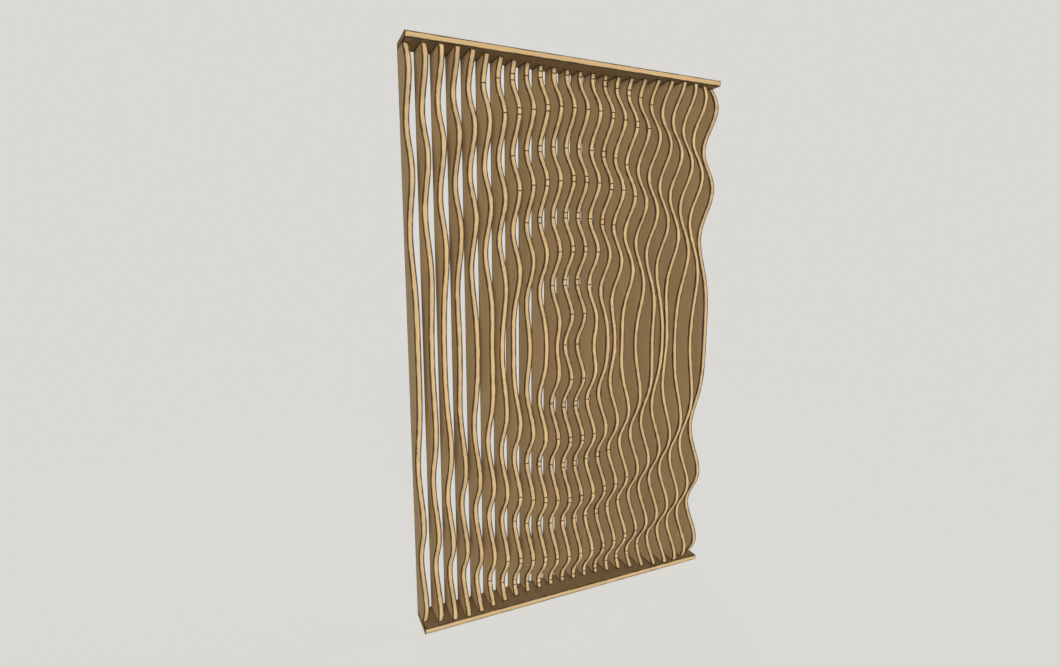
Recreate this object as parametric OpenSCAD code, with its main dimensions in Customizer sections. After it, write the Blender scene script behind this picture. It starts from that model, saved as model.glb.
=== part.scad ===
// Wooden lattice panel: upright slats on edge between a top and a bottom board.
// The front edges of the slats are cut so that together they draw round ripples.
// Millimetres, +Z up, front towards -Y. The origin is the middle of the underside.

/* [Panel] */
// Overall height, from the floor to the top of the top board
panel_h = 2000; // [1200:10:2600]
// Overall depth, front to back, which is also the depth of both boards
panel_d = 120; // [112:1:300]
// Thickness of the top board and of the bottom board
board_t = 20; // [18:1:40]

/* [Slats] */
// Number of slats
slat_count = 24; // [7:1:40]
// Thickness of a slat
slat_t = 20; // [16:1:40]
// Clear gap between two slats
slat_gap = 32; // [16:1:80]

/* [Ripples] */
// Distance from one ripple's crest to the next, outwards from the middle of the rings
ripple_length = 240; // [120:5:600]
// Depth of a ripple, from crest to trough
ripple_depth = 62; // [0:1:70]
// Distance of the crests behind the front edges of the boards
crest_setback = 4; // [0:1:12]
// Height of the middle of the rings above the floor
ring_height = 1000; // [0:10:2600]
// Height between two points of a slat's front edge
ripple_step = 8; // [4:1:20]

/* [Dowels] */
// Diameter of the dowels that place a slat on a board
dowel_d = 8; // [6:1:10]
// Length of a dowel
dowel_length = 30; // [24:1:60]
// Length of the dowel that sits in the board
dowel_in_board = 12; // [8:0.5:14]
// Distance between the two dowels in one end of a slat
dowel_spacing = 28; // [22:1:34]
// Chamfer on the ends of a dowel
dowel_chamfer = 1; // [0.5:0.1:2]
// Radial clearance of a dowel in its hole, which the glue fills
dowel_fit = 0.1; // [0.05:0.05:0.2]
// Depth of a dowel hole past the end of its dowel
dowel_end_gap = 0.5; // [0.1:0.1:0.8]

/* [Screws] */
// Diameter of the wood screws that hold a board on the slats
screw_d = 4.5; // [3.5:0.5:5]
// Length of a screw
screw_length = 60; // [50:5:100]
// Diameter of a screw's countersunk head
head_d = 9; // [8:0.5:10]
// Height of the straight rim of a head
head_rim = 0.5; // [0.3:0.1:1]
// Depth of a head below the face of the board
head_sink = 0.5; // [0.2:0.1:2]
// Length of a screw's point
point_length = 6; // [4:0.5:10]
// Radial clearance of a screw in the slat
screw_fit = 0.05; // [0.05:0.05:0.2]
// Radial clearance of a screw and of its head in the board
head_fit = 0.25; // [0.1:0.05:0.5]
// Depth of a screw hole past the screw's point
screw_end_gap = 0.5; // [0.1:0.1:0.8]
// Width of the arms of the cross recess in a head
drive_w = 1.2; // [0.8:0.1:2]
// Length of the cross recess, tip to tip
drive_l = 4.4; // [3:0.2:4.6]
// Depth of the cross recess
drive_deep = 2; // [1:0.1:2.5]

/* [Fixing holes] */
// Diameter of the holes that fix a board to a floor, a ceiling or a rail
fixing_d = 7; // [4:0.5:10]
// The gap that holds the outer fixing holes, counted from each end of the panel
fixing_gap = 3; // [1:1:6]

/* [Hidden] */
wood = [0.87, 0.72, 0.53];
dowel_wood = [0.93, 0.84, 0.68];
steel = [0.70, 0.70, 0.68];
$fn = 48;
// How far a cut runs past the face that it opens
past = 1;

slat_pitch = slat_t + slat_gap;
gap_count = slat_count - 1;
panel_w = slat_count * slat_t + gap_count * slat_gap;
slat_length = panel_h - 2 * board_t;
front_y = -panel_d / 2;
back_y = panel_d / 2;

// A slat is nowhere shallower than the neck, so every joint lies on the neck's middle line.
neck_d = panel_d - crest_setback - ripple_depth;
joint_y = back_y - neck_d / 2;
dowel_ys = [joint_y - dowel_spacing / 2, joint_y + dowel_spacing / 2];
dowel_hole_r = dowel_d / 2 + dowel_fit;

head_cone_h = (head_d - screw_d) / 2;
screw_in_slat = head_sink + screw_length - board_t;

// The inner fixing holes lie a third of the way from one outer hole to the other.
fixing_inner_gap = round(fixing_gap + (gap_count + 1 - 2 * fixing_gap) / 3);
fixing_gaps = [
    fixing_gap,
    fixing_inner_gap,
    gap_count + 1 - fixing_inner_gap,
    gap_count + 1 - fixing_gap
];

function slat_left_x(i) = -panel_w / 2 + (i - 1) * slat_pitch;
function slat_mid_x(i) = slat_left_x(i) + slat_t / 2;
function gap_mid_x(i) = slat_left_x(i) + slat_t + slat_gap / 2;
function slat_name(i) = str("slat_", i < 10 ? "0" : "", i);

// Distance of a front edge behind the front edges of the boards
function ripple(x, z) =
    crest_setback + ripple_depth * (1 + cos(360 * norm([x, z - ring_height]) / ripple_length)) / 2;

// Puts what is made for the foot of the panel at its head.
module at_top() {
    translate([0, 0, panel_h])
        mirror([0, 0, 1])
            children();
}

// The hole for one dowel, in the board and in the slat on it
module dowel_hole() {
    translate([0, 0, -dowel_in_board - dowel_end_gap])
        cylinder(h = dowel_length + 2 * dowel_end_gap, r = dowel_hole_r);
}

module dowel() {
    translate([0, 0, -dowel_in_board])
        rotate_extrude()
            polygon([
                [0, 0],
                [dowel_d / 2 - dowel_chamfer, 0],
                [dowel_d / 2, dowel_chamfer],
                [dowel_d / 2, dowel_length - dowel_chamfer],
                [dowel_d / 2 - dowel_chamfer, dowel_length],
                [0, dowel_length]
            ]);
}

// A countersunk screw that points up, with the top of its head at height 0
module screw() {
    difference() {
        rotate_extrude()
            polygon([
                [0, 0],
                [head_d / 2, 0],
                [head_d / 2, head_rim],
                [screw_d / 2, head_rim + head_cone_h],
                [screw_d / 2, screw_length - point_length],
                [0, screw_length]
            ]);
        for (turn = [0, 90])
            rotate([0, 0, turn])
                translate([-drive_l / 2, -drive_w / 2, -past])
                    cube([drive_l, drive_w, drive_deep + past]);
    }
}

// The countersunk clearance hole for one screw, from the outer face of a board
module screw_clearance() {
    hole_r = screw_d / 2 + head_fit;
    rim_depth = head_sink + head_rim;
    translate([0, 0, -past])
        cylinder(h = board_t + 2 * past, r = hole_r);
    translate([0, 0, -past])
        cylinder(h = rim_depth + past, r = head_d / 2 + head_fit);
    translate([0, 0, rim_depth])
        cylinder(h = head_cone_h, r1 = head_d / 2 + head_fit, r2 = hole_r);
}

module screw_pilot() {
    translate([0, 0, board_t - past])
        cylinder(h = screw_in_slat + screw_end_gap + past, r = screw_d / 2 + screw_fit);
}

// A board as it lies at the foot of the panel, with the dowel holes in its upper face
module board() {
    color(wood)
        difference() {
            translate([-panel_w / 2, front_y, 0])
                cube([panel_w, panel_d, board_t]);
            for (i = [1 : slat_count]) {
                for (y = dowel_ys)
                    translate([slat_mid_x(i), y, board_t])
                        dowel_hole();
                translate([slat_mid_x(i), joint_y, 0])
                    screw_clearance();
            }
            for (i = fixing_gaps)
                translate([gap_mid_x(i), joint_y, -past])
                    cylinder(h = board_t + 2 * past, d = fixing_d);
        }
}

// A slat's side view: the rippled front edge upwards, then the straight back edge
module slat_outline(i) {
    steps = ceil(slat_length / ripple_step);
    zs = [for (k = [0 : steps]) board_t + slat_length * k / steps];
    polygon(concat(
        [for (z = zs) [front_y + ripple(slat_mid_x(i), z), z]],
        [[back_y, panel_h - board_t], [back_y, board_t]]
    ));
}

module slat_end_holes(i) {
    for (y = dowel_ys)
        translate([slat_mid_x(i), y, board_t])
            dowel_hole();
    translate([slat_mid_x(i), joint_y, 0])
        screw_pilot();
}

module slat(i) {
    color(wood)
        difference() {
            translate([slat_left_x(i), 0, 0])
                rotate([90, 0, 90])
                    linear_extrude(height = slat_t)
                        slat_outline(i);
            slat_end_holes(i);
            at_top()
                slat_end_holes(i);
        }
}

module dowels() {
    color(dowel_wood)
        for (i = [1 : slat_count])
            for (y = dowel_ys)
                translate([slat_mid_x(i), y, board_t])
                    dowel();
}

module screws() {
    color(steel)
        for (i = [1 : slat_count])
            translate([slat_mid_x(i), joint_y, head_sink])
                screw();
}

module bottom_board() board();
module top_board() at_top() board();
module bottom_dowels() dowels();
module top_dowels() at_top() dowels();
module bottom_screws() screws();
module top_screws() at_top() screws();

top_board();
bottom_board();
for (i = [1 : slat_count])
    slat(i);
top_dowels();
bottom_dowels();
top_screws();
bottom_screws();
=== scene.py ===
"""Wooden lattice panel: upright slats on edge between two boards, with rippled front edges.

Metres, +Z up, front towards -Y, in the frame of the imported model. Each operator makes one
piece or one group of like pieces, and the panel in the sidebar lists them in order.
"""

import math
from collections import namedtuple

import bpy
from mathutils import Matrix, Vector


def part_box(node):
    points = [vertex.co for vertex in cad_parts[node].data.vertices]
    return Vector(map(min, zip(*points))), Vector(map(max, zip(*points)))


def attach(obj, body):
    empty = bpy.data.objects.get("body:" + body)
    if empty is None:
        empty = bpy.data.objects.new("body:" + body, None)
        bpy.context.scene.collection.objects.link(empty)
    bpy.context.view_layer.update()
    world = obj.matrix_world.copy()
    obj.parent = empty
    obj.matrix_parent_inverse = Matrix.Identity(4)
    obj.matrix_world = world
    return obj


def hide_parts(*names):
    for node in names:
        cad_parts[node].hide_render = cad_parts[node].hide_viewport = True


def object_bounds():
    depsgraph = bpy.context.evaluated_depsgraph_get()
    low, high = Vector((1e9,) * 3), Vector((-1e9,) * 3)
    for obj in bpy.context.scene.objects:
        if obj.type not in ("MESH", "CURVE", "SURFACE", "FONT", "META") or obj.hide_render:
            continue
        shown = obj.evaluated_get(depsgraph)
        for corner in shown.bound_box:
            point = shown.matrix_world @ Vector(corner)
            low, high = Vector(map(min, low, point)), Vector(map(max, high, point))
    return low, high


bl_info = {
    "name": "Wooden Lattice Panel",
    "version": (1, 0, 0),
    "blender": (4, 5, 0),
    "location": "3D View > Sidebar > Lattice Panel",
    "description": "Builds a slatted wooden panel whose front edges draw round ripples",
    "category": "Add Mesh",
}

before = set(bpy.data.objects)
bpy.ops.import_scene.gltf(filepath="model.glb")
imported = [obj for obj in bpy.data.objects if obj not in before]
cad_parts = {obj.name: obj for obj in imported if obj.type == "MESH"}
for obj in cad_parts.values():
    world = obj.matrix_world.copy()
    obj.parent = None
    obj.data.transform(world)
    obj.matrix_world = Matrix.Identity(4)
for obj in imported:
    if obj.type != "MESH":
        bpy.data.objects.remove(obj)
cad_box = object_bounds()

TURN = 2 * math.pi
# The panel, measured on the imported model
LOW, HIGH = cad_box
FIRST_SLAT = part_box("slat_01")
SECOND_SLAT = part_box("slat_02")
BOARD_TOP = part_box("bottom_board")[1].z
SLAT_NAMES = sorted(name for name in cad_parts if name.startswith("slat_"))
# The scorch reaches this much further over a slat's edges and over its sides than on a board.
EDGE_REACH = 1.3
SIDE_REACH = 1.7
# Both boards come from one plank, whose number lies past those of the slats.
BOARD_PLANK = len(SLAT_NAMES) + 7
# Planks lie this many waves apart in every noise, so that no two look alike.
PLANK_STEP = 9
# Faces that meet at more than this angle keep a sharp edge between them.
SHARP_ANGLE = math.radians(35)
# Rings of points on a screw before its thread begins
SMOOTH_RINGS = 4
# Sides of the screw holes and the fixing holes in a board
HOLE_SIDES = 32
# The sheen of bare and of oiled wood
WOOD_SHEEN = {"Specular IOR Level": 0.25}
# The kinds of the rules' inputs that aren't plain numbers
INPUT_KINDS = {
    "Board": "Geometry",
    "Rings": "Int",
    "Slat Count": "Int",
    "Inwards": "Rotation",
    "Material": "Material",
}


def setting(name, description, default, **kind):
    """A number that a user can change. Its kind gives the unit and the limits."""
    return bpy.props.FloatProperty(
        name=name, description=description, default=default, **kind
    )


def length(name, description, default):
    """A size in metres."""
    return setting(name, description, default, min=0.0, precision=4, unit="LENGTH")


def position(name, description, default):
    """A distance in metres that can be below nothing."""
    return setting(name, description, default, precision=4, unit="LENGTH")


def share(name, description, default):
    """A share between nothing and all."""
    return setting(name, description, default, min=0.0, max=1.0, subtype="FACTOR")


def tint(name, description, default):
    """A colour in linear light."""
    return bpy.props.FloatVectorProperty(
        name=name, description=description, default=default,
        min=0.0, max=1.0, size=3, subtype="COLOR",
    )


def amount(name, description, default):
    """A plain number."""
    return setting(name, description, default, min=0.0, max=100.0)


def angle(name, description, default):
    """An angle, given in degrees and kept in radians."""
    return setting(name, description, math.radians(default), subtype="ANGLE")


class PanelSizes(bpy.types.PropertyGroup):
    """Sizes of the boards, the slats and the ripples."""

    width: length("Width", "Across the boards", HIGH.x - LOW.x)
    depth: length("Depth", "Front to back", HIGH.y - LOW.y)
    height: length("Height", "Floor to the top of the top board", HIGH.z - LOW.z)
    board_thickness: length("Board thickness", "Thickness of each board", BOARD_TOP)
    slat_thickness: length(
        "Slat thickness", "Thickness of a slat", FIRST_SLAT[1].x - FIRST_SLAT[0].x
    )
    slat_pitch: length(
        "Slat pitch", "From one slat to the next", SECOND_SLAT[0].x - FIRST_SLAT[0].x
    )
    slat_count: bpy.props.IntProperty(
        name="Slats", description="Number of slats", default=len(SLAT_NAMES), min=2
    )
    ripple_length: length("Ripple length", "From one crest to the next", 0.240)
    ripple_depth: length("Ripple depth", "From crest to trough", 0.062)
    crest_setback: length("Crest setback", "Crests behind the boards' front edges", 0.004)
    ring_height: length("Ring height", "Height of the middle of the rings", 1.0)
    ring_step: length("Ring step", "Height between two points of a front edge", 0.006)
    slat_arris: length("Slat arris", "Radius of a slat's long edges", 0.0012)
    board_arris: length("Board arris", "Radius of a board's edges", 0.0016)
    cutter_step: length("Cutter step", "Height from one stop of the cutter to the next", 0.02046)
    cutter_mark: length("Cutter mark", "Height of the mark that a sharp turn leaves", 0.0055)
    sharp_turn: angle("Sharp turn", "Least turn of the cutter that leaves a mark", 20.15)

    @property
    def first_x(self):
        """The middle of the first slat."""
        return (self.slat_thickness - self.width) / 2

    @property
    def foot_z(self):
        """The lower ends of the slats."""
        return self.board_thickness

    @property
    def head_z(self):
        """The upper ends of the slats."""
        return self.height - self.board_thickness

    @property
    def joint_y(self):
        """The dowels and screws lie in the middle of the slats' narrowest depth."""
        narrowest = self.depth - self.crest_setback - self.ripple_depth
        return self.depth / 2 - narrowest / 2


class FasteningSizes(bpy.types.PropertyGroup):
    """Sizes of the dowels, the screws and the holes."""

    dowel_diameter: length("Dowel diameter", "Across a dowel", 0.008)
    dowel_length: length("Dowel length", "End to end", 0.030)
    dowel_in_board: length("Dowel in board", "Length of a dowel in its board", 0.012)
    dowel_spacing: length("Dowel spacing", "Between the two dowels of a joint", 0.028)
    dowel_chamfer: length("Dowel chamfer", "Chamfer on a dowel's ends", 0.001)
    dowel_fit: length("Dowel fit", "Clearance round a dowel", 0.0001)
    flute_depth: length("Flute depth", "Depth of a dowel's glue flutes", 0.0003)
    end_gap: length("End gap", "Clearance past the end of a dowel or a screw", 0.0005)
    screw_diameter: length("Screw diameter", "Across the shank and the thread", 0.0045)
    core_diameter: length("Core diameter", "Across the core below the thread", 0.0030)
    screw_length: length("Screw length", "Head to point", 0.060)
    point_length: length("Point length", "Length of the tapered point", 0.006)
    thread_start: length("Thread start", "Head to the first thread", 0.024)
    thread_pitch: length("Thread pitch", "From one thread to the next", 0.0024)
    screw_fit: length("Screw fit", "Clearance round a screw in a slat", 0.00005)
    head_diameter: length("Head diameter", "Across a countersunk head", 0.009)
    head_rim: length("Head rim", "Height of the straight rim", 0.0005)
    head_sink: length("Head sink", "Head below the face of the board", 0.0005)
    head_fit: length("Head fit", "Clearance round a screw in a board", 0.00025)
    drive_width: length("Drive width", "Arm of the cross recess", 0.0012)
    drive_length: length("Drive length", "Cross recess, tip to tip", 0.0044)
    drive_depth: length("Drive depth", "Depth of the cross recess", 0.002)
    fixing_diameter: length("Fixing hole", "Holes that fix a board in place", 0.007)
    fixing_span: length("Fixing span", "Between the two outer fixing holes", 0.936)


class Finish(bpy.types.PropertyGroup):
    """Colours and figure of the wood and the steel."""

    early_wood: tint("Early wood", "Light wood of a ring", (0.475, 0.320, 0.152))
    late_wood: tint("Late wood", "Dark wood of a ring", (0.285, 0.178, 0.078))
    scorch: tint("Scorch", "Arrises that the cutter has browned", (0.018, 0.011, 0.007))
    dowel_wood: tint("Dowel wood", "Compressed beech", (0.62, 0.47, 0.29))
    dowel_shade: tint("Dowel shade", "Darker fibres of a dowel", (0.42, 0.29, 0.16))
    steel: tint("Steel", "Zinc plated steel", (0.62, 0.61, 0.58))
    dull_steel: tint("Dull steel", "Rubbed patches of the plating", (0.384, 0.378, 0.360))
    ring_width: length("Ring width", "Growth rings", 0.0052)
    scorch_width: length("Scorch width", "Reach of the scorch from an arris", 0.0048)
    figure: share("Figure", "Strength of the growth rings", 0.60)
    streaks: share("Streaks", "Strength of the fibre streaks", 0.55)
    mottle: share("Mottle", "Strength of the broad changes of tone", 0.55)
    flecks: share("Flecks", "Strength of the small dark pores", 0.22)
    plank_contrast: share("Plank contrast", "How far planks differ in tone", 0.12)
    scorch_depth: share("Scorch depth", "How dark the arrises are", 0.94)
    end_depth: share("End depth", "How dark the end grain is", 0.35)


class Studio(bpy.types.PropertyGroup):
    """Light, floor and camera."""

    backdrop: tint("Backdrop", "Floor and background", (0.701, 0.694, 0.665))
    room: tint("Room light", "Even light from all round", (0.046, 0.082, 0.130))
    key: amount("Key light", "Soft light on the front", 5.1)
    key_side: angle("Key side", "Key light, to the left of the front", 15.6)
    key_height: angle("Key height", "Key light above the horizon", 3.2)
    back: amount("Back light", "Soft light on the back", 2.4)
    back_side: angle("Back side", "Back light, to the left of the front", -165.0)
    back_height: angle("Back height", "Back light above the horizon", 2.0)
    right: amount("Right light", "Soft light on the right end", 1.7)
    left: amount("Left light", "Soft light on the left end", 0.4)
    top: amount("Top light", "Narrow light on the top board", 2.0)
    softness: angle("Softness", "Width of the soft lights, seen from the panel", 34.0)
    top_width: angle("Top width", "Width of the top light, seen from the panel", 0.5)
    floor_glow: share("Floor glow", "Share of the near floor that takes no shadow", 0.80)
    camera_x: position("Camera X", "Camera, to the right of the panel's middle", -0.98039)
    camera_y: position("Camera Y", "Camera, behind the panel's middle", -1.82223)
    camera_z: position("Camera Z", "Camera above the floor", 1.33863)
    camera_turn: angle("Camera turn", "Turned to the right of the panel's normal", 23.91964)
    camera_dip: angle("Camera dip", "Below the horizon", 9.39591)
    lens: amount("Lens", "Focal length in millimetres", 18.610)
    shift_up: amount("Shift up", "Rise of the frame, as a share of its width", 0.01104)


class Term:
    """A number in a node tree. Sums of terms add the tree's math nodes."""

    def __init__(self, tree, socket):
        self.tree = tree
        self.socket = socket

    def math(self, operation, *others):
        settings = {"operation": operation}
        return Term(self.tree, result(self.tree, "ShaderNodeMath", settings, (self, *others)))

    def __add__(self, other):
        return self.math("ADD", other)

    def __sub__(self, other):
        return self.math("SUBTRACT", other)

    def __mul__(self, other):
        return self.math("MULTIPLY", other)

    def __truediv__(self, other):
        return self.math("DIVIDE", other)

    def __rsub__(self, other):
        return self * -1 + other

    __radd__ = __add__
    __rmul__ = __mul__

    def between(self, low, high):
        return self.math("MAXIMUM", low).math("MINIMUM", high)

    def above(self, limit):
        return self.math("GREATER_THAN", limit)

    def below(self, limit):
        return self.math("LESS_THAN", limit)

    def away_from(self, other):
        """The length of the line whose two legs are these terms."""
        return (self * self + other * other).math("SQRT")

    def rise(self, start, end):
        """Goes smoothly from 0 at start to 1 at end."""
        share_done = ((self - start) / (end - start)).between(0, 1)
        return share_done * share_done * (3 - 2 * share_done)

    def spread(self, low, high):
        """Goes evenly from low to high as the term goes from 0 to 1."""
        return self * (high - low) + low


def feed(tree, slot, value):
    """Links an input to a term or a socket, or sets it to a value. Colours are opaque."""
    if isinstance(value, Term):
        value = value.socket
    if isinstance(value, bpy.types.NodeSocket):
        tree.links.new(value, slot)
    elif slot.type == "RGBA":
        slot.default_value = (*value, 1.0)
    else:
        slot.default_value = value


def add(tree, kind, settings=None, inputs=()):
    """Adds a node. Inputs go by name in a dict, or in order in a tuple."""
    node = tree.nodes.new(kind)
    for name, value in (settings or {}).items():
        setattr(node, name, value)
    pairs = inputs.items() if isinstance(inputs, dict) else enumerate(inputs)
    for slot, value in pairs:
        feed(tree, node.inputs[slot], value)
    return node


def result(tree, kind, settings=None, inputs=()):
    """The first output of a new node."""
    return add(tree, kind, settings, inputs).outputs[0]


def point(tree, x, y, z):
    """A vector from three terms or numbers."""
    return result(tree, "ShaderNodeCombineXYZ", inputs=(x, y, z))


def parts(tree, vector):
    """The three numbers of a vector."""
    node = add(tree, "ShaderNodeSeparateXYZ", inputs=(vector,))
    return [Term(tree, socket) for socket in node.outputs]


def new_rule(name, *inputs):
    """A geometry tree with its named inputs as terms. A blank to be worked on comes first."""
    tree = bpy.data.node_groups.new(name, "GeometryNodeTree")
    tree.is_modifier = True
    for label in inputs:
        kind = "NodeSocket" + INPUT_KINDS.get(label, "Float")
        tree.interface.new_socket(label, in_out="INPUT", socket_type=kind)
    tree.interface.new_socket("Geometry", in_out="OUTPUT", socket_type="NodeSocketGeometry")
    group_input = tree.nodes.new("NodeGroupInput")
    return tree, {label: Term(tree, group_input.outputs[label]) for label in inputs}


def end_rule(tree, geometry, material):
    """Every rule ends in real meshes with their material."""
    real = result(tree, "GeometryNodeRealizeInstances", inputs=(geometry,))
    finished = result(
        tree, "GeometryNodeSetMaterial", inputs={"Geometry": real, "Material": material}
    )
    add(tree, "NodeGroupOutput", inputs=(finished,))


def rings(tree, ring_count, side_count):
    """A closed tube of rings, with the ring number and the point number as terms."""
    rail = result(tree, "GeometryNodeCurvePrimitiveLine")
    stops = result(
        tree, "GeometryNodeResampleCurve", inputs={"Curve": rail, "Count": ring_count}
    )
    outline = result(
        tree, "GeometryNodeCurvePrimitiveCircle", inputs={"Resolution": side_count}
    )
    tube = result(
        tree, "GeometryNodeCurveToMesh",
        inputs={"Curve": stops, "Profile Curve": outline, "Fill Caps": True},
    )
    index = Term(tree, result(tree, "GeometryNodeInputIndex"))
    # Half a point more keeps a ring's first point from being rounded into the ring before it.
    ring = (index / side_count + 0.5 / side_count).math("FLOOR")
    return tube, ring, index - ring * side_count


def placed(tree, mesh, x, y, z):
    """The mesh with its points moved to where the formulas say."""
    return result(
        tree, "GeometryNodeSetPosition",
        inputs={"Geometry": mesh, "Position": point(tree, x, y, z)},
    )


def pick(tree, number, values):
    """The value that stands at a number's place in a list."""
    node = add(tree, "GeometryNodeIndexSwitch", {"data_type": "FLOAT"})
    while len(node.index_switch_items) < len(values):
        node.index_switch_items.new()
    feed(tree, node.inputs["Index"], number)
    for place, value in enumerate(values):
        feed(tree, node.inputs[place + 1], value)
    return Term(tree, node.outputs[0])


def turned(tree, stations, side_count, flute=0.0):
    """A turned solid from pairs of height and radius. Every third line can be a flute."""
    mesh, ring, side = rings(tree, len(stations), side_count)
    height, radius = (pick(tree, ring, values) for values in zip(*stations))
    radius = radius - (side.math("MODULO", 3).below(0.5)) * flute
    turn = side * (TURN / side_count)
    return placed(tree, mesh, radius * turn.math("COSINE"), radius * turn.math("SINE"), height)


def row(tree, count, first, pitch):
    """A row of points along X."""
    return result(
        tree, "GeometryNodeMeshLine",
        inputs={"Count": count, "Start Location": first, "Offset": point(tree, pitch, 0, 0)},
    )


def dowel_rows(tree, size, z):
    """Two rows of points, one before the joint line and one behind it."""
    joined = add(tree, "GeometryNodeJoinGeometry")
    for side in (-0.5, 0.5):
        y = size["Joint Y"] + size["Dowel Spacing"] * side
        tree.links.new(joint_row(tree, size, y, z), joined.inputs[0])
    return joined.outputs[0]


def joint_row(tree, size, y, z):
    """A row of points, one for each slat."""
    first = point(tree, size["First X"], y, z)
    return row(tree, size["Slat Count"], first, size["Slat Pitch"])


def copies(tree, points, shape, turn=(0, 0, 0)):
    """One copy of a shape at each point, as real meshes."""
    instances = result(
        tree, "GeometryNodeInstanceOnPoints",
        inputs={"Points": points, "Instance": shape, "Rotation": turn},
    )
    return result(tree, "GeometryNodeRealizeInstances", inputs=(instances,))


def cut(tree, body, *tools):
    """The body with each tool's shapes cut out of it."""
    for tool in tools:
        body = result(
            tree, "GeometryNodeMeshBoolean",
            {"operation": "DIFFERENCE", "solver": "MANIFOLD"},
            {"Mesh 1": body, "Mesh 2": tool},
        )
    return body


def bore(tree, radius, depth, side_count=24):
    """A round cutter that reaches as far out of the hole as into it."""
    return result(
        tree, "GeometryNodeMeshCylinder",
        inputs={"Vertices": side_count, "Radius": radius, "Depth": depth * 2},
    )


def slat_rule():
    """One slat: a rounded outline swept upwards, with its front edge set back by the ripple."""
    tree, size = new_rule(
        "Rippled slat", "Middle X", "Slat Thickness", "Depth", "Foot Z", "Head Z",
        "Ripple Length", "Ripple Depth", "Crest Setback", "Ring Height", "Slat Arris",
        "Joint Y", "Dowel Spacing", "Dowel Radius", "Dowel Depth", "Pilot Radius",
        "Pilot Depth", "Rings", "Material",
    )
    # Each corner is an arc with a support point on the flat before it and one after it.
    arc_steps = 3
    last_step = arc_steps + 2
    points_per_corner = last_step + 1
    # The support points lie this many arris radii from the arc.
    support_reach = 1.5
    rounding_guard = 0.01
    arris = size["Slat Arris"]
    mesh, ring, place = rings(tree, size["Rings"], 4 * points_per_corner)
    corner = (place / points_per_corner + rounding_guard).math("FLOOR")
    step = place - corner * points_per_corner
    turn = (corner + (step - 1).between(0, arc_steps) / arc_steps) * (TURN / 4)
    middle_turn = (corner + 0.5) * (TURN / 4)
    support = (step.above(last_step - 0.5) - step.below(0.5)) * arris * support_reach
    side_x = middle_turn.math("COSINE").math("SIGN")
    side_y = middle_turn.math("SINE").math("SIGN")
    slat_length = size["Head Z"] - size["Foot Z"]
    z = size["Foot Z"] + slat_length * ring / (size["Rings"] - 1)
    x = (
        size["Middle X"]
        + side_x * (size["Slat Thickness"] / 2 - arris)
        + arris * turn.math("COSINE")
        - support * turn.math("SINE")
    )
    y = (
        side_y * (size["Depth"] / 2 - arris)
        + arris * turn.math("SINE")
        + support * turn.math("COSINE")
    )
    setback = ripple(
        size["Middle X"], z - size["Ring Height"],
        size["Crest Setback"], size["Ripple Depth"], size["Ripple Length"],
    )
    # The setback moves the front of the outline alone.
    y = y + setback * (1 - side_y) / 2
    slat = placed(tree, mesh, x, y, z)

    # The four dowel holes lie on a grid that stands in the slat's middle plane.
    grid = result(
        tree, "GeometryNodeMeshGrid",
        inputs={
            "Size X": size["Dowel Spacing"], "Size Y": slat_length,
            "Vertices X": 2, "Vertices Y": 2,
        },
    )
    foot, middle, head = (
        point(tree, size["Middle X"], size["Joint Y"], height)
        for height in (size["Foot Z"], (size["Foot Z"] + size["Head Z"]) / 2, size["Head Z"])
    )
    dowel_points = result(
        tree, "GeometryNodeTransform",
        inputs={
            "Geometry": grid,
            "Translation": middle,
            "Rotation": (TURN / 4, 0, TURN / 4),
        },
    )
    pilot_points = result(
        tree, "GeometryNodeMeshLine", {"mode": "END_POINTS"},
        {"Count": 2, "Start Location": foot, "Offset": head},
    )
    slat = cut(
        tree, slat,
        copies(tree, dowel_points, bore(tree, size["Dowel Radius"], size["Dowel Depth"])),
        copies(tree, pilot_points, bore(tree, size["Pilot Radius"], size["Pilot Depth"])),
    )
    end_rule(tree, slat, size["Material"])
    return tree


def ripple(x, z, setback, depth, wave):
    """How far a front edge lies behind the boards' front edges, as a term or a number."""
    phase = x.away_from(z) * TURN / wave
    return setback + depth * (1 + phase.math("COSINE")) / 2


def board_rule():
    """The holes of a board: dowel holes, countersunk screw holes and fixing holes."""
    tree, size = new_rule(
        "Bored board", "Board", "Outer Z", "Inner Z", "Board Thickness", "First X",
        "Slat Pitch", "Slat Count", "Joint Y", "Dowel Spacing", "Dowel Radius",
        "Dowel Depth", "Screw Radius", "Rim Radius", "Rim Depth", "Fixing Radius",
        "Fixing Span", "Inwards", "Material",
    )
    dowel_bore = bore(tree, size["Dowel Radius"], size["Dowel Depth"])
    dowel_holes = copies(tree, dowel_rows(tree, size, size["Inner Z"]), dowel_bore)

    # How far the countersink runs past the faces that it opens
    past = 0.001
    cone_height = size["Rim Radius"] - size["Screw Radius"]
    countersink = turned(
        tree,
        [
            (-past, size["Rim Radius"]),
            (size["Rim Depth"], size["Rim Radius"]),
            (size["Rim Depth"] + cone_height, size["Screw Radius"]),
            (size["Board Thickness"] + past, size["Screw Radius"]),
        ],
        HOLE_SIDES,
    )
    screw_points = joint_row(tree, size, size["Joint Y"], size["Outer Z"])
    screw_holes = copies(tree, screw_points, countersink, size["Inwards"])

    # A fixing bore starts on the outer face and has to run past the inner one.
    fixing_count = 4
    first = point(tree, size["Fixing Span"] / -2, size["Joint Y"], size["Outer Z"])
    fixing_holes = copies(
        tree,
        row(tree, fixing_count, first, size["Fixing Span"] / (fixing_count - 1)),
        bore(tree, size["Fixing Radius"], size["Board Thickness"] * 1.5, HOLE_SIDES),
    )
    board = cut(tree, size["Board"], dowel_holes, screw_holes, fixing_holes)
    end_rule(tree, board, size["Material"])
    return tree


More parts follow.
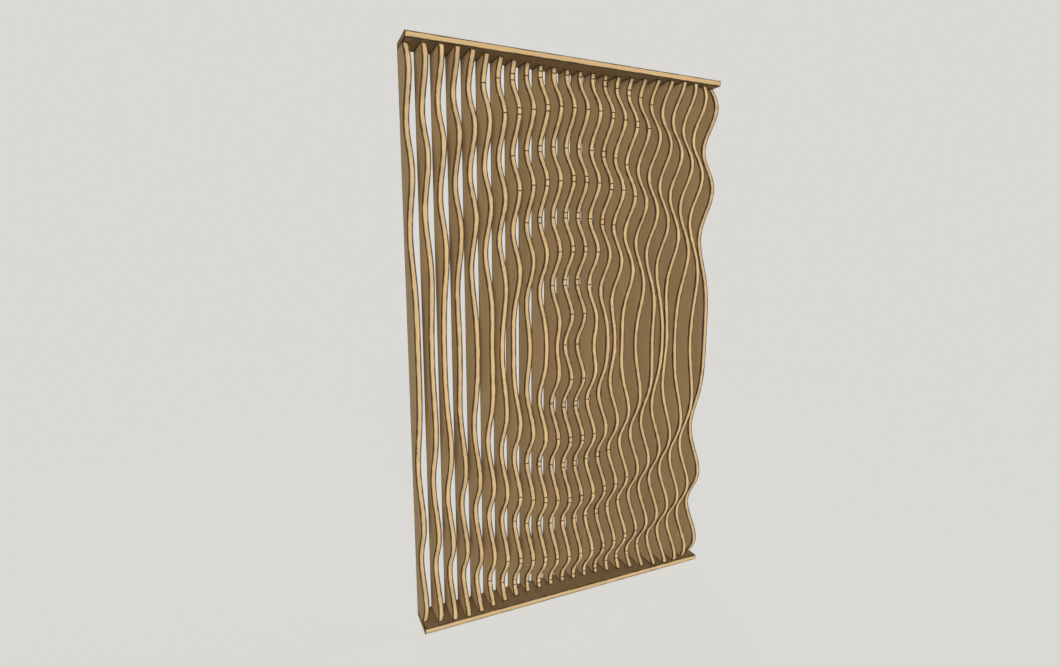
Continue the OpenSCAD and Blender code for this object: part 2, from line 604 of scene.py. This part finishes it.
def dowel_rule():
    """Two rows of fluted dowels."""
    tree, size = new_rule(
        "Fluted dowels", "First X", "Slat Pitch", "Slat Count", "Joint Y", "Low Z",
        "Dowel Spacing", "Dowel Radius", "Dowel Length", "Dowel Chamfer", "Flute Depth",
        "Material",
    )
    side_count = 36
    end_radius = size["Dowel Radius"] - size["Dowel Chamfer"]
    dowel = turned(
        tree,
        [
            (0.0, end_radius),
            (size["Dowel Chamfer"], size["Dowel Radius"]),
            (size["Dowel Length"] - size["Dowel Chamfer"], size["Dowel Radius"]),
            (size["Dowel Length"], end_radius),
        ],
        side_count,
        size["Flute Depth"],
    )
    dowels = copies(tree, dowel_rows(tree, size, size["Low Z"]), dowel)
    end_rule(tree, dowels, size["Material"])
    return tree


def screw_rule():
    """A row of countersunk wood screws with a thread, a point and a cross recess."""
    tree, size = new_rule(
        "Countersunk screws", "First X", "Slat Pitch", "Slat Count", "Joint Y", "Screw Z",
        "Screw Radius", "Core Radius", "Screw Length", "Point Length", "Thread Start",
        "Thread Pitch", "Head Radius", "Head Rim", "Drive Width", "Drive Length",
        "Drive Depth", "Rings", "Inwards", "Material",
    )
    side_count = 16
    # The share of the shaft's radius that is left at the very tip
    tip_share = 0.04
    shank, core, head = size["Screw Radius"], size["Core Radius"], size["Head Radius"]
    neck = size["Head Rim"] + head - shank
    mesh, ring, side = rings(tree, size["Rings"], side_count)
    stop = ring.math("MINIMUM", SMOOTH_RINGS - 1)
    smooth_z = pick(tree, stop, [0.0, size["Head Rim"], neck, size["Thread Start"]])
    smooth_radius = pick(tree, stop, [head, head, shank, shank])
    thread_length = size["Screw Length"] - size["Thread Start"]
    z = smooth_z + (ring - stop) * (thread_length / (size["Rings"] - SMOOTH_RINGS))
    turn = side * (TURN / side_count)
    # The ridge takes the middle half of each pitch, and the core shows between the ridges.
    phase = (z / size["Thread Pitch"] - side / side_count).math("FRACT")
    ridge = (1 - (phase - 0.5).math("ABSOLUTE") * 4).between(0, 1)
    left = (size["Screw Length"] - z) / size["Point Length"]
    threaded = (core + (shank - core) * ridge) * left.between(tip_share, 1)
    in_thread = ring.above(SMOOTH_RINGS - 0.5)
    radius = smooth_radius + (threaded - smooth_radius) * in_thread
    shaft = placed(tree, mesh, radius * turn.math("COSINE"), radius * turn.math("SINE"), z)
    arms = []
    for arm_x, arm_y in (("Drive Length", "Drive Width"), ("Drive Width", "Drive Length")):
        box_size = point(tree, size[arm_x], size[arm_y], size["Drive Depth"] * 2)
        arms.append(result(tree, "GeometryNodeMeshCube", inputs={"Size": box_size}))
    screw = cut(tree, shaft, *arms)

    # For plain numbers, this node's maximum is its fourth input and its result the second.
    spin = add(
        tree, "FunctionNodeRandomValue", {"data_type": "FLOAT"}, {3: TURN / 4, "Seed": 7}
    )
    spin_turn = result(
        tree, "FunctionNodeEulerToRotation", inputs=(point(tree, 0, 0, spin.outputs[1]),)
    )
    heading = result(
        tree, "FunctionNodeRotateRotation", {"rotation_space": "LOCAL"},
        (size["Inwards"], spin_turn),
    )
    points = joint_row(tree, size, size["Joint Y"], size["Screw Z"])
    end_rule(tree, copies(tree, points, screw, heading), size["Material"])
    return tree


def new_object(name, data):
    """A new object in the scene."""
    made = bpy.data.objects.new(name, data)
    bpy.context.scene.collection.objects.link(made)
    return made


def new_piece(rule, kind, node, values, blank=None):
    """A piece as the plain mesh that a rule makes. It stands for one node of the model."""
    name = f"{kind}_{node}"
    holder = blank or new_object(name, bpy.data.meshes.new(name))
    modifier = holder.modifiers.new(rule.name, "NODES")
    modifier.node_group = rule
    for item in rule.interface.items_tree:
        if item.name in values:
            modifier[item.identifier] = values[item.name]
    evaluated = holder.evaluated_get(bpy.context.evaluated_depsgraph_get())
    mesh = bpy.data.meshes.new_from_object(evaluated)
    bpy.data.objects.remove(holder)
    if not mesh.polygons:
        raise RuntimeError(f"{name} came out empty")
    mesh.name = name
    mesh.shade_smooth()
    mesh.set_sharp_from_angle(angle=SHARP_ANGLE)
    piece = new_object(name, mesh)
    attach(piece, "root")
    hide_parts(node)
    return piece


def settings_for(rule, *groups):
    """The settings that have the same names as a rule's inputs."""
    found = {}
    for item in rule.interface.items_tree:
        key = item.name.lower().replace(" ", "_")
        for group in groups:
            if hasattr(group, key):
                found[item.name] = getattr(group, key)
    return found


def flatten_faces(mesh, squareness=0.9999):
    """Shades the faces that lie square to an axis as flat."""
    for face in mesh.polygons:
        if max(abs(part) for part in face.normal) > squareness:
            face.use_smooth = False


def setting_groups(scene):
    """What a user can change about the pieces."""
    return scene.lattice_sizes, scene.lattice_fastening, scene.lattice_finish


Grain = namedtuple("Grain", "side depth along plank edge_gap end_gap cutter_mark")


def object_coordinates(tree):
    """The place on the piece, as three terms."""
    return parts(tree, add(tree, "ShaderNodeTexCoord").outputs["Object"])


def slat_grain(tree, sizes):
    """Where a point lies in its slat, whose fibres run upwards."""
    x, y, z = object_coordinates(tree)
    half_gap = (sizes.slat_pitch - sizes.slat_thickness) / 2
    plank = ((x + sizes.width / 2 + half_gap) / sizes.slat_pitch).math("FLOOR")
    middle = plank * sizes.slat_pitch + sizes.first_x
    inner_x = x - middle
    above_middle = z - sizes.ring_height
    to_front = y - front_setback(middle, above_middle, sizes) + sizes.depth / 2
    to_back = sizes.depth / 2 - y
    to_side = sizes.slat_thickness / 2 - inner_x.math("ABSOLUTE")
    to_end = (z - sizes.foot_z).math("MINIMUM", sizes.head_z - z)
    to_edge = to_front.math("MINIMUM", to_back)
    edge_gap = second_least(to_side / EDGE_REACH, to_edge / SIDE_REACH, to_end)
    on_front = 1 - to_front.rise(sizes.slat_arris / 2, sizes.slat_arris)
    mark = turn_mark(middle, above_middle, sizes) * on_front
    return Grain(inner_x, y, z, plank, edge_gap, to_end, mark)


def front_setback(x, z, sizes):
    """The setback that a material reads, at a place counted from the middle of the rings."""
    return ripple(x, z, sizes.crest_setback, sizes.ripple_depth, sizes.ripple_length)


def turn_mark(x, z, sizes):
    """A line across a front edge at each stop of the cutter where it turned sharply."""
    stop = (z / sizes.cutter_step).math("ROUND") * sizes.cutter_step
    before, here, after = (
        front_setback(x, stop + step, sizes)
        for step in (-sizes.cutter_step, 0, sizes.cutter_step)
    )
    way_in = ((here - before) / sizes.cutter_step).math("ARCTANGENT")
    way_out = ((after - here) / sizes.cutter_step).math("ARCTANGENT")
    is_sharp = (way_out - way_in).math("ABSOLUTE").above(sizes.sharp_turn)
    from_stop = (z - stop).math("ABSOLUTE")
    return is_sharp * (1 - from_stop.rise(sizes.cutter_mark / 4, sizes.cutter_mark / 2))


def board_grain(tree, sizes):
    """Where a point lies in its board, whose fibres run sideways."""
    x, y, z = object_coordinates(tree)
    is_top = z.above(sizes.height / 2)
    inner_z = z - is_top * sizes.head_z - sizes.board_thickness / 2
    to_end = sizes.width / 2 - x.math("ABSOLUTE")
    to_front = sizes.depth / 2 - y.math("ABSOLUTE")
    to_face = sizes.board_thickness / 2 - inner_z.math("ABSOLUTE")
    edge_gap = second_least(to_end, to_front, to_face)
    return Grain(inner_z, y, x + is_top * sizes.width, BOARD_PLANK, edge_gap, to_end, 0)


def second_least(first, second, third):
    """The middle one of three terms. Of the gaps to three faces it is the gap to an arris."""
    lower = first.math("MINIMUM", second)
    upper = first.math("MAXIMUM", second)
    return lower.math("MAXIMUM", upper.math("MINIMUM", third))


def noise(tree, x, y, z, detail, roughness=0.5):
    """Even noise at a place, from 0 to 1."""
    node = add(
        tree, "ShaderNodeTexNoise",
        inputs={
            "Vector": point(tree, x, y, z), "Scale": 1.0,
            "Detail": detail, "Roughness": roughness,
        },
    )
    return Term(tree, node.outputs["Fac"])


def fibre_noise(tree, grain, across, along, detail, roughness=0.5):
    """Noise with its own pattern in each plank. Its scales count waves to the metre."""
    x = grain.side * across + grain.plank * PLANK_STEP
    return noise(tree, x, grain.depth * across, grain.along * along, detail, roughness)


def chance(tree, number, seed):
    """Three random numbers for each whole number."""
    node = add(
        tree, "ShaderNodeTexWhiteNoise", {"noise_dimensions": "1D"}, {"W": number + seed}
    )
    return parts(tree, node.outputs["Color"])


def blend(tree, amount_of_second, first, second):
    """A mix of two colours, whose inputs and output in this node stand after the plain ones."""
    node = add(
        tree, "ShaderNodeMix", {"data_type": "RGBA", "clamp_factor": True},
        {0: amount_of_second, 6: first, 7: second},
    )
    return node.outputs[2]


def dimmed(tree, colour, factor):
    """A colour times a number."""
    return result(
        tree, "ShaderNodeVectorMath", {"operation": "SCALE"},
        {"Vector": colour, "Scale": factor},
    )


def cleared_tree(owner):
    """The node tree of a material or a world, with nothing in it."""
    owner.use_nodes = True
    owner.node_tree.nodes.clear()
    return owner.node_tree


def new_material(name):
    """A material and its node tree, with nothing in it."""
    material = bpy.data.materials.new(name)
    return material, cleared_tree(material)


def end_material(tree, fixed, colour, roughness, height, distance, strength):
    """Every piece's material ends in one shader, whose surface a height term raises."""
    raised = result(
        tree, "ShaderNodeBump",
        inputs={"Strength": strength, "Distance": distance, "Height": height},
    )
    inputs = {"Base Color": colour, "Roughness": roughness, "Normal": raised} | fixed
    shader = result(tree, "ShaderNodeBsdfPrincipled", inputs=inputs)
    add(tree, "ShaderNodeOutputMaterial", inputs=(shader,))


def oiled_wood(name, grain_of, sizes, finish):
    """Oiled wood: growth rings round a far pith, fibre streaks, flecks and the cutter's scorch."""
    material, tree = new_material(name)
    grain = grain_of(tree, sizes)
    pith_chance, depth_chance, lean_chance = chance(tree, grain.plank, seed=11.5)
    side_chance, tone_chance, _ = chance(tree, grain.plank, seed=47.5)

    # The pith lies outside the plank, before or behind it, and leans along it.
    lean = lean_chance.spread(-0.015, 0.015)
    pith_side = pith_chance.spread(-0.08, 0.08)
    pith_depth = depth_chance.spread(0.05, 0.15) * side_chance.above(0.5).spread(-1, 1)
    sway = fibre_noise(tree, grain, across=5, along=1.1, detail=2.0).spread(-0.015, 0.015)
    from_pith = (grain.side - pith_side + grain.along * lean).away_from(
        grain.depth - pith_depth + grain.along * lean
    ) + sway
    ring_number = from_pith / finish.ring_width
    ring = ring_number.math("FRACT")
    ring_strength = chance(tree, ring_number.math("FLOOR"), seed=3.5)[0].spread(0.3, 1.0)
    # Late wood darkens slowly towards the end of a ring and then stops short.
    slowness = 3.0
    late_end = 0.93
    late = ring.math("POWER", slowness) * (1 - ring.rise(late_end, 1.0)) * ring_strength

    streak = fibre_noise(tree, grain, across=420, along=7, detail=3.0, roughness=0.6)
    tone = fibre_noise(tree, grain, across=16, along=1.6, detail=2.0)
    fleck = fibre_noise(tree, grain, across=1500, along=190, detail=1.0).rise(0.66, 0.76)
    # Streaks and broad tones at these levels leave the colour as it is.
    plain_streak = 0.35
    plain_tone = 0.5
    darkness = (
        late * finish.figure
        + (streak - plain_streak) * finish.streaks
        + (tone - plain_tone) * finish.mottle
        + fleck * finish.flecks
    )
    colour = blend(tree, darkness.between(0, 1), finish.early_wood, finish.late_wood)
    half_contrast = finish.plank_contrast / 2
    colour = dimmed(tree, colour, tone_chance.spread(1 - half_contrast, 1 + half_contrast))

    # The scorch is wider here and narrower there, and the streaks fray its border.
    full_share = 0.35
    breadth = fibre_noise(tree, grain, across=60, along=24, detail=2.0).spread(0.3, 1.7)
    reach = breadth * finish.scorch_width
    frayed_gap = grain.edge_gap + streak.spread(-0.35, 0.35) * finish.scorch_width
    scorched = 1 - (frayed_gap / reach).rise(full_share, 1.0)
    scorched = scorched.math("MAXIMUM", grain.cutter_mark)
    # End grain shows in a thin skin at each end.
    skin = 0.0004
    end_grain = 1 - grain.end_gap.rise(skin, skin * 2)
    darkened = (scorched * finish.scorch_depth).math("MAXIMUM", end_grain * finish.end_depth)
    colour = blend(tree, darkened, colour, finish.scorch)

    scorch_gloss = 0.10
    end_roughness = 0.12
    roughness = streak.spread(0.64, 0.80) - scorched * scorch_gloss + end_grain * end_roughness
    height = streak * 0.5 - late * 0.35 - fleck * 0.4
    end_material(tree, WOOD_SHEEN, colour, roughness, height, distance=0.00025, strength=0.5)
    return material


def dowel_wood(finish):
    """Raw compressed beech with fine fibres along the dowel."""
    material, tree = new_material("raw_beech")
    x, y, z = object_coordinates(tree)
    fibre = noise(tree, x * 1600, y * 1600, z * 60, detail=3.0, roughness=0.6)
    patch = noise(tree, x * 90, y * 90, z * 40, detail=2.0)
    darkness = (fibre * 0.6 + patch * 0.6 - 0.2).between(0, 1)
    colour = blend(tree, darkness, finish.dowel_wood, finish.dowel_shade)
    roughness = fibre.spread(0.68, 0.83)
    end_material(tree, WOOD_SHEEN, colour, roughness, fibre, distance=0.0001, strength=0.6)
    return material


def plated_steel(sizes, finish):
    """Zinc plated steel: turned rings round each screw, soft blotches and painted shade in each
    recess.
    """
    material, tree = new_material("zinc_plated_steel")
    x, y, z = object_coordinates(tree)
    pitches = (x + sizes.width / 2) / sizes.slat_pitch
    screw = pitches.math("FLOOR")
    inner_x = (pitches - screw) * sizes.slat_pitch - sizes.slat_thickness / 2
    from_axis = inner_x.away_from(y - sizes.joint_y)
    turned_line = noise(tree, from_axis * 9000, screw, z * 300, detail=2.0)
    blotch = noise(tree, x * 420, y * 420, z * 420, detail=3.0)
    worn = (blotch * 0.5 + turned_line * 0.35).between(0, 1)
    colour = blend(tree, worn, finish.steel, finish.dull_steel)
    # Painted shade: the steel darkens from just below a head's face and is darkest halfway down
    # its recess.
    recess_shade_start = 0.0006
    recess_shade_full = 0.0016
    below_face = z.math("MINIMUM", sizes.height - z)
    recess_shade = below_face.rise(recess_shade_start, recess_shade_full)
    # Painted shade: deep in the recess the steel's colour is dimmed to three tenths.
    colour = dimmed(tree, colour, recess_shade.spread(1.0, 0.3))
    roughness = blotch.spread(0.50, 0.74)
    end_material(
        tree, {"Metallic": 1.0}, colour, roughness, turned_line,
        distance=0.00004, strength=0.4,
    )
    return material


class LATTICE_OT_studio(bpy.types.Operator):
    """Set up the pale floor, the soft lights and the camera"""

    bl_idname = "lattice.studio"
    bl_label = "Studio"

    def execute(self, context):
        studio = context.scene.lattice_studio
        context.scene.view_settings.view_transform = "Standard"
        make_world(studio)
        make_floor(studio)
        for name, sun in suns(studio).items():
            make_sun(name, *sun)
        make_camera(studio)
        return {"FINISHED"}


def suns(studio):
    """The strength, side, height and width of each light."""
    return {
        "key_light": (studio.key, studio.key_side, studio.key_height, studio.softness),
        "back_light": (studio.back, studio.back_side, studio.back_height, studio.softness),
        "right_light": (studio.right, -TURN / 4, 0.0, studio.softness),
        "left_light": (studio.left, TURN / 4, 0.0, studio.softness),
        "top_light": (studio.top, 0.0, TURN / 4, studio.top_width),
    }


def make_world(studio):
    """Even room light, with the plain backdrop where the camera looks past the panel."""
    world = bpy.data.worlds.new("room")
    tree = cleared_tree(world)
    lit = result(tree, "ShaderNodeBackground", inputs=(studio.room,))
    seen = result(tree, "ShaderNodeBackground", inputs=(studio.backdrop,))
    path = add(tree, "ShaderNodeLightPath")
    mixed = result(
        tree, "ShaderNodeMixShader", inputs=(path.outputs["Is Camera Ray"], lit, seen)
    )
    add(tree, "ShaderNodeOutputWorld", inputs=(mixed,))
    bpy.context.scene.world = world


def make_floor(studio):
    """A pale floor that takes a faint shadow near the panel and fades into the backdrop."""
    half_width = 60.0
    just_below = -0.0006
    fade_start = 2.5
    fade_end = 6.0
    palest_paint = 0.95
    mesh = bpy.data.meshes.new("floor")
    corners = [
        (side_x * half_width, side_y * half_width, just_below)
        for side_x, side_y in ((-1, -1), (1, -1), (1, 1), (-1, 1))
    ]
    mesh.from_pydata(corners, [], [(0, 1, 2, 3)])
    floor = new_object("floor", mesh)
    material, tree = new_material("pale_floor")
    x, y, _ = object_coordinates(tree)
    glow = x.away_from(y).rise(fade_start, fade_end).spread(studio.floor_glow, 1)
    shine = result(tree, "ShaderNodeEmission", inputs=(studio.backdrop,))
    from_suns = sum(
        strength * level_share(height, width) / math.pi
        for strength, _, height, width in suns(studio).values()
    )
    paint = tuple(
        min(wanted / (from_suns + even), palest_paint)
        for wanted, even in zip(studio.backdrop, studio.room)
    )
    matt = result(tree, "ShaderNodeBsdfDiffuse", inputs=(paint,))
    mixed = result(tree, "ShaderNodeMixShader", inputs=(glow, matt, shine))
    add(tree, "ShaderNodeOutputMaterial", inputs=(mixed,))
    mesh.materials.append(material)
    floor.visible_diffuse = False
    floor.visible_glossy = False
    floor.visible_shadow = False


def level_share(height, width):
    """Share of a round, far light that falls on level ground, though half of it may be set."""
    middle = math.sin(height)
    radius = math.sin(width / 2)
    if middle >= radius:
        return middle
    part = middle / radius
    risen = 0.5 + (math.asin(part) + part * math.sqrt(1 - part**2)) / math.pi
    return middle * risen + 2 * radius / (3 * math.pi) * (1 - part**2) ** 1.5


def make_sun(name, strength, side, height, width):
    """A far light. Its side is counted from the front, towards the left."""
    light = bpy.data.lights.new(name, "SUN")
    light.energy = strength
    light.angle = width
    lamp = new_object(name, light)
    # A level light would lay a white haze on each side that a view grazes.
    lamp.visible_glossy = height > TURN / 8
    level = math.cos(height)
    towards = Vector((-math.sin(side) * level, -math.cos(side) * level, math.sin(height)))
    lamp.rotation_euler = towards.to_track_quat("Z", "Y").to_euler()


def make_camera(studio):
    """The photograph's viewpoint."""
    camera = new_object("camera", bpy.data.cameras.new("camera"))
    camera.location = (studio.camera_x, studio.camera_y, studio.camera_z)
    camera.rotation_euler = (TURN / 4 - studio.camera_dip, 0.0, -studio.camera_turn)
    camera.data.sensor_fit = "HORIZONTAL"
    camera.data.sensor_width = 36.0
    camera.data.lens = studio.lens
    camera.data.shift_y = studio.shift_up
    camera.data.clip_end = 500.0
    bpy.context.scene.camera = camera


class LATTICE_OT_slats(bpy.types.Operator):
    """Cut the rippled slats and bore their ends"""

    bl_idname = "lattice.slats"
    bl_label = "Rippled Slats"

    def execute(self, context):
        sizes, fastening, finish = setting_groups(context.scene)
        rule = slat_rule()
        in_slat = fastening.dowel_length - fastening.dowel_in_board
        screw_in_slat = fastening.head_sink + fastening.screw_length - sizes.foot_z
        values = settings_for(rule, sizes, fastening) | {
            "Dowel Radius": fastening.dowel_diameter / 2 + fastening.dowel_fit,
            "Dowel Depth": in_slat + fastening.end_gap,
            "Pilot Radius": fastening.screw_diameter / 2 + fastening.screw_fit,
            "Pilot Depth": screw_in_slat + fastening.end_gap,
            "Rings": math.ceil((sizes.head_z - sizes.foot_z) / sizes.ring_step) + 1,
            "Material": oiled_wood("oiled_slat_wood", slat_grain, sizes, finish),
        }
        for pitches, node in enumerate(SLAT_NAMES):
            values["Middle X"] = sizes.first_x + pitches * sizes.slat_pitch
            new_piece(rule, "rippled", node, values)
        return {"FINISHED"}


class LATTICE_OT_boards(bpy.types.Operator):
    """Plane the top and the bottom board, ease their edges and bore them"""

    bl_idname = "lattice.boards"
    bl_label = "Boards"

    def execute(self, context):
        sizes, fastening, finish = setting_groups(context.scene)
        rule = board_rule()
        values = settings_for(rule, sizes, fastening) | {
            "Dowel Radius": fastening.dowel_diameter / 2 + fastening.dowel_fit,
            "Dowel Depth": fastening.dowel_in_board + fastening.end_gap,
            "Screw Radius": fastening.screw_diameter / 2 + fastening.head_fit,
            "Rim Radius": fastening.head_diameter / 2 + fastening.head_fit,
            "Rim Depth": fastening.head_sink + fastening.head_rim,
            "Fixing Radius": fastening.fixing_diameter / 2,
            "Material": oiled_wood("oiled_board_wood", board_grain, sizes, finish),
        }
        for node, outer, inner, turn in (
            ("bottom_board", 0.0, sizes.foot_z, 0.0),
            ("top_board", sizes.height, sizes.head_z, TURN / 2),
        ):
            places = {"Outer Z": outer, "Inner Z": inner, "Inwards": (turn, 0.0, 0.0)}
            blank = board_blank(node, sizes, (outer + inner) / 2)
            piece = new_piece(rule, "oiled", node, values | places, blank)
            flatten_faces(piece.data)
        return {"FINISHED"}


def board_blank(name, sizes, middle_z):
    """A planed board with eased edges, before it is bored."""
    mesh = bpy.data.meshes.new(name + "_blank")
    corners = [
        (x * sizes.width, y * sizes.depth, middle_z + z * sizes.board_thickness)
        for z in (-0.5, 0.5) for y in (-0.5, 0.5) for x in (-0.5, 0.5)
    ]
    sides = [(0, 2, 3, 1), (4, 5, 7, 6), (0, 1, 5, 4), (1, 3, 7, 5), (3, 2, 6, 7), (2, 0, 4, 6)]
    mesh.from_pydata(corners, [], sides)
    blank = new_object(name + "_blank", mesh)
    easing = blank.modifiers.new("Eased edges", "BEVEL")
    easing.width = sizes.board_arris
    easing.segments = 3
    easing.limit_method = "NONE"
    return blank


class LATTICE_OT_dowels(bpy.types.Operator):
    """Make the fluted dowels that place the slats on the boards"""

    bl_idname = "lattice.dowels"
    bl_label = "Dowels"

    def execute(self, context):
        sizes, fastening, finish = setting_groups(context.scene)
        rule = dowel_rule()
        in_slat = fastening.dowel_length - fastening.dowel_in_board
        values = settings_for(rule, sizes, fastening) | {
            "Dowel Radius": fastening.dowel_diameter / 2,
            "Material": dowel_wood(finish),
        }
        for node, low in (
            ("bottom_dowels", sizes.foot_z - fastening.dowel_in_board),
            ("top_dowels", sizes.head_z - in_slat),
        ):
            values["Low Z"] = low
            new_piece(rule, "fluted", node, values)
        return {"FINISHED"}


class LATTICE_OT_screws(bpy.types.Operator):
    """Make the countersunk screws that hold the boards on the slats"""

    bl_idname = "lattice.screws"
    bl_label = "Screws"

    def execute(self, context):
        sizes, fastening, finish = setting_groups(context.scene)
        rule = screw_rule()
        rings_per_thread = 5
        threads = (fastening.screw_length - fastening.thread_start) / fastening.thread_pitch
        values = settings_for(rule, sizes, fastening) | {
            "Screw Radius": fastening.screw_diameter / 2,
            "Core Radius": fastening.core_diameter / 2,
            "Head Radius": fastening.head_diameter / 2,
            "Rings": SMOOTH_RINGS + round(threads * rings_per_thread),
            "Material": plated_steel(sizes, finish),
        }
        for node, head_face, turn in (
            ("bottom_screws", fastening.head_sink, 0.0),
            ("top_screws", sizes.height - fastening.head_sink, TURN / 2),
        ):
            places = {"Screw Z": head_face, "Inwards": (turn, 0.0, 0.0)}
            new_piece(rule, "threaded", node, values | places)
        return {"FINISHED"}


OPERATORS = (
    LATTICE_OT_studio,
    LATTICE_OT_slats,
    LATTICE_OT_boards,
    LATTICE_OT_dowels,
    LATTICE_OT_screws,
)


class LATTICE_PT_panel(bpy.types.Panel):
    """Lists the steps that build the lattice panel"""

    bl_idname = "LATTICE_PT_panel"
    bl_label = "Lattice Panel"
    bl_space_type = "VIEW_3D"
    bl_region_type = "UI"
    bl_category = "Lattice Panel"

    def draw(self, context):
        for group in SETTINGS:
            box = self.layout.box()
            settings = getattr(context.scene, group)
            for name in settings.bl_rna.properties.keys():
                if name not in ("name", "rna_type"):
                    box.prop(settings, name)
        for operator in OPERATORS:
            self.layout.operator(operator.bl_idname)


SETTINGS = {
    "lattice_sizes": PanelSizes,
    "lattice_fastening": FasteningSizes,
    "lattice_finish": Finish,
    "lattice_studio": Studio,
}


def register():
    for group in (*SETTINGS.values(), *OPERATORS, LATTICE_PT_panel):
        bpy.utils.register_class(group)
    for name, group in SETTINGS.items():
        setattr(bpy.types.Scene, name, bpy.props.PointerProperty(type=group))


def unregister():
    for name in SETTINGS:
        delattr(bpy.types.Scene, name)
    for group in (LATTICE_PT_panel, *OPERATORS, *SETTINGS.values()):
        bpy.utils.unregister_class(group)


def main():
    register()
    bpy.ops.lattice.studio()
    bpy.ops.lattice.slats()
    bpy.ops.lattice.boards()
    bpy.ops.lattice.dowels()
    bpy.ops.lattice.screws()


if __name__ == "__main__":
    main()
